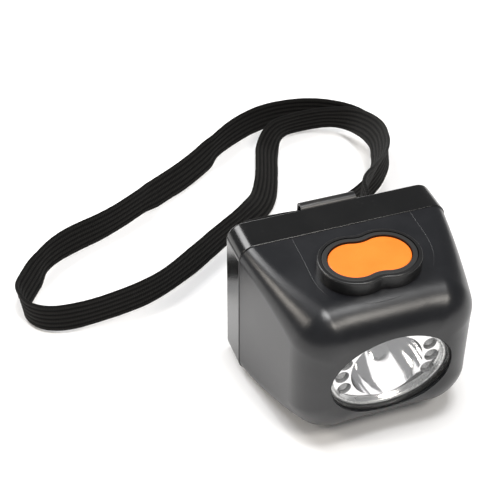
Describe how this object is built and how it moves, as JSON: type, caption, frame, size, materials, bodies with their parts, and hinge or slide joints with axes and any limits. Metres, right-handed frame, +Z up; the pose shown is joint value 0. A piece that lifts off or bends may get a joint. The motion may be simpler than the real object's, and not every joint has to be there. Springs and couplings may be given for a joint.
{
  "type": "cordless miner's cap lamp",
  "caption": "Cordless cap lamp with an oval reflector window, a top power key, a rear belt clip and a loose elastic headband.",
  "frame": {"origin": "centre of the bottom of the lamp's bounding box, its cap clip included and its headband left out", "axes": "+X across the lamp, to the right as seen from its lens; +Y from the lens to the cap clip; +Z up, out of the power key's panel"},
  "size_m": [0.1851, 0.1974, 0.0645],
  "materials": {
    "housing_black": "satin moulded",
    "cover_black": "satin moulded",
    "bezel_black": "smooth",
    "seal_rubber": "matt",
    "key_orange": "satin",
    "pad_silicone": "matt translucent",
    "lens_clear": "polished",
    "reflector_chrome": "vacuum metallised",
    "led_package": "phosphor under a clear dome",
    "led_epoxy": "clear moulded",
    "heat_sink_aluminium": "as cast",
    "board_green": "solder mask",
    "board_white": "white solder mask on aluminium",
    "chip_black": "matt",
    "coil_ferrite": "matt",
    "screw_steel": "bright",
    "contact_brass": "plated",
    "battery_sleeve": "shrink sleeve",
    "cradle_plastic": "satin",
    "tab_nickel": "bright",
    "wire_red": "insulation",
    "wire_black": "insulation",
    "switch_plastic": "satin",
    "clip_steel": "black coated spring steel",
    "strap_elastic": "ribbed knitted elastic"
  },
  "bodies": {
    "lamp": {"front_housing": "housing_black", "rear_cover": "cover_black", "cover_gasket": "seal_rubber", "cover_screws": "screw_steel", "lens_seal": "seal_rubber", "lens": "lens_clear", "reflector": "reflector_chrome", "main_led": "led_package", "led_star_board": "board_white", "heat_sink": "heat_sink_aluminium", "led_module_screws": "screw_steel", "aux_led_1": "led_epoxy", "aux_led_2": "led_epoxy", "aux_led_3": "led_epoxy", "aux_led_4": "led_epoxy", "aux_led_5": "led_epoxy", "aux_led_6": "led_epoxy", "aux_led_board_left": "board_green", "aux_led_board_right": "board_green", "button_bezel": "bezel_black", "button_boot": "seal_rubber", "key_return_pad": "pad_silicone", "switch_body": "switch_plastic", "switch_board": "board_green", "switch_board_screws": "screw_steel", "battery_cell": "battery_sleeve", "battery_cradle": "cradle_plastic", "battery_tab_negative": "tab_nickel", "battery_tab_positive": "tab_nickel", "control_board": "board_green", "control_board_screws": "screw_steel", "charge_chip": "chip_black", "driver_chip": "chip_black", "driver_coil": "coil_ferrite", "charging_contacts": "contact_brass", "battery_lead_positive": "wire_red", "battery_lead_negative": "wire_black", "main_led_lead": "wire_red", "switch_lead": "wire_black", "clip_bracket": "clip_steel", "clip_rivets": "screw_steel", "band_in_clip": "strap_elastic", "headband": "strap_elastic"},
    "key": {"power_key": "key_orange"},
    "plunger": {"switch_plunger": "switch_plastic"},
    "tongue": {"clip_tongue": "clip_steel"}
  },
  "joints": [
    {"name": "key_press", "type": "slide", "parent": "lamp", "child": "key", "axis": [0, 0, -1], "range_m": [0, 0.0006], "stiffness_N_per_m": 2000, "deforming": ["key_return_pad"]},
    {"name": "switch_press", "type": "slide", "parent": "lamp", "child": "plunger", "axis": [0, 0, -1], "range_m": [0, 0.0006]},
    {"name": "clip_flex", "type": "hinge", "parent": "lamp", "child": "tongue", "pos_m": [0, 0.03235, 0.0583], "axis": [1, 0, 0], "range_deg": [0, 5], "stiffness_Nm_per_rad": 0.8}
  ],
  "couplings": [
    {"joint": "switch_press", "follows": "key_press", "ratio": 1}
  ]
}
